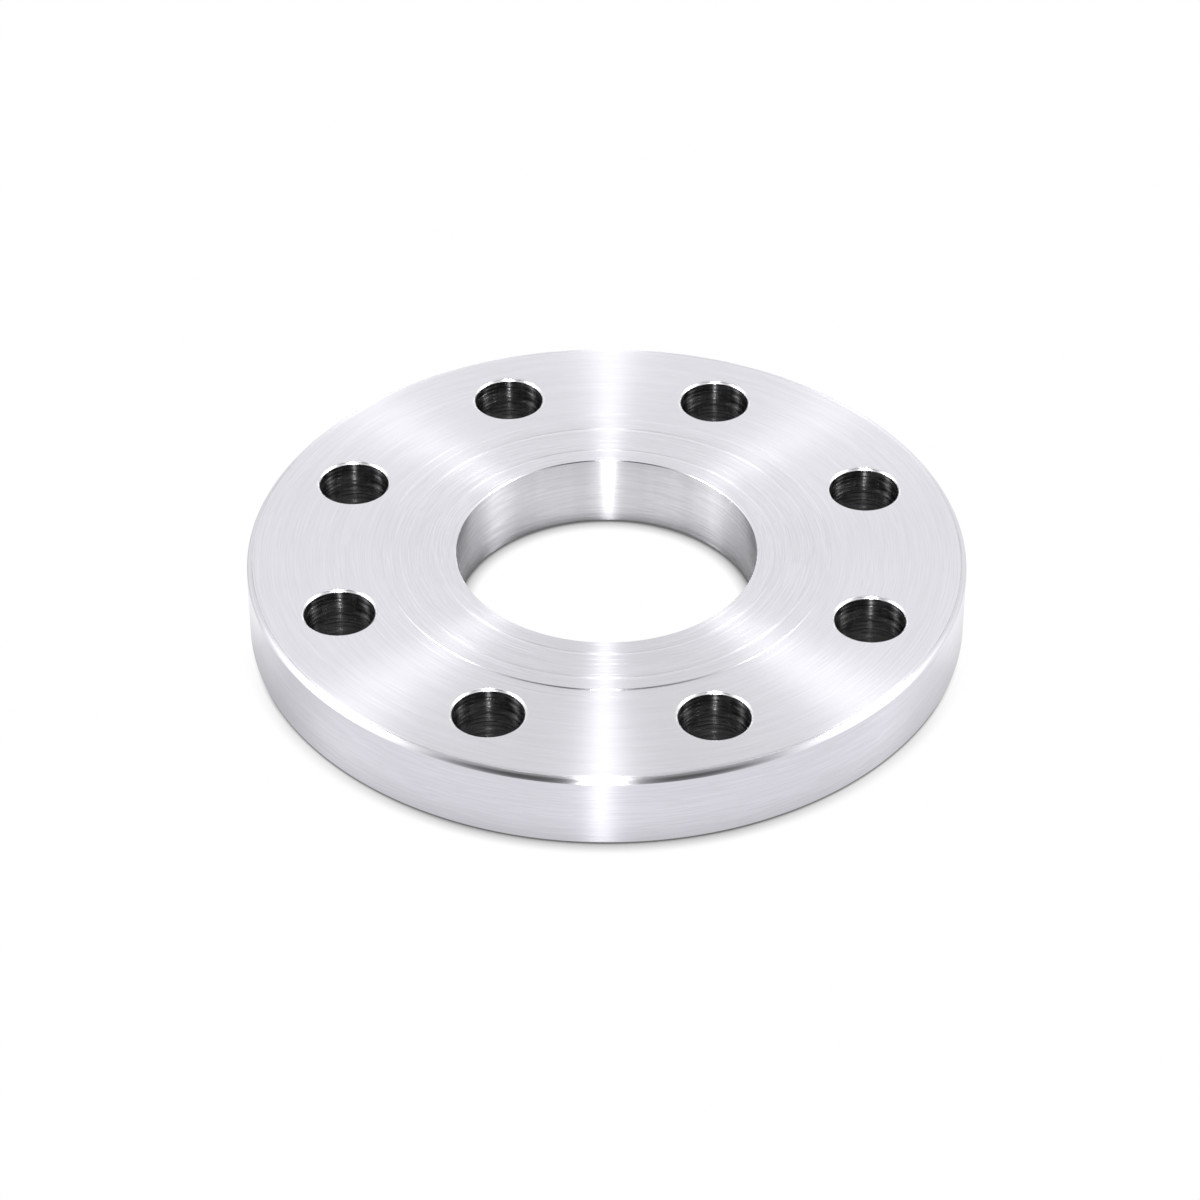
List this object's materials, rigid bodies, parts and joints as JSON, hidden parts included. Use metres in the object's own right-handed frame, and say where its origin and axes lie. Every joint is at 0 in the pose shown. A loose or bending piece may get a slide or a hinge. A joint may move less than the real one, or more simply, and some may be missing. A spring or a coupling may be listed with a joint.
{
  "type": "slip on flange",
  "caption": "Flat round steel flange with a plain pipe bore, a ring of bolt holes and a lightly raised seating face; slipped over a pipe's end, welded on and bolted to its mate.",
  "frame": {"origin": "centre of the bore at the flange's back face, on which it lies", "axes": "+Z along the bore's axis, towards the seating face; the bolt holes stand astride the X and Y axes"},
  "size_m": [0.185, 0.185, 0.02],
  "materials": {
    "turned_steel": "bright turned steel, satin, with fine concentric tool marks"
  },
  "bodies": {
    "root": {"flange": "turned_steel"}
  },
  "joints": []
}
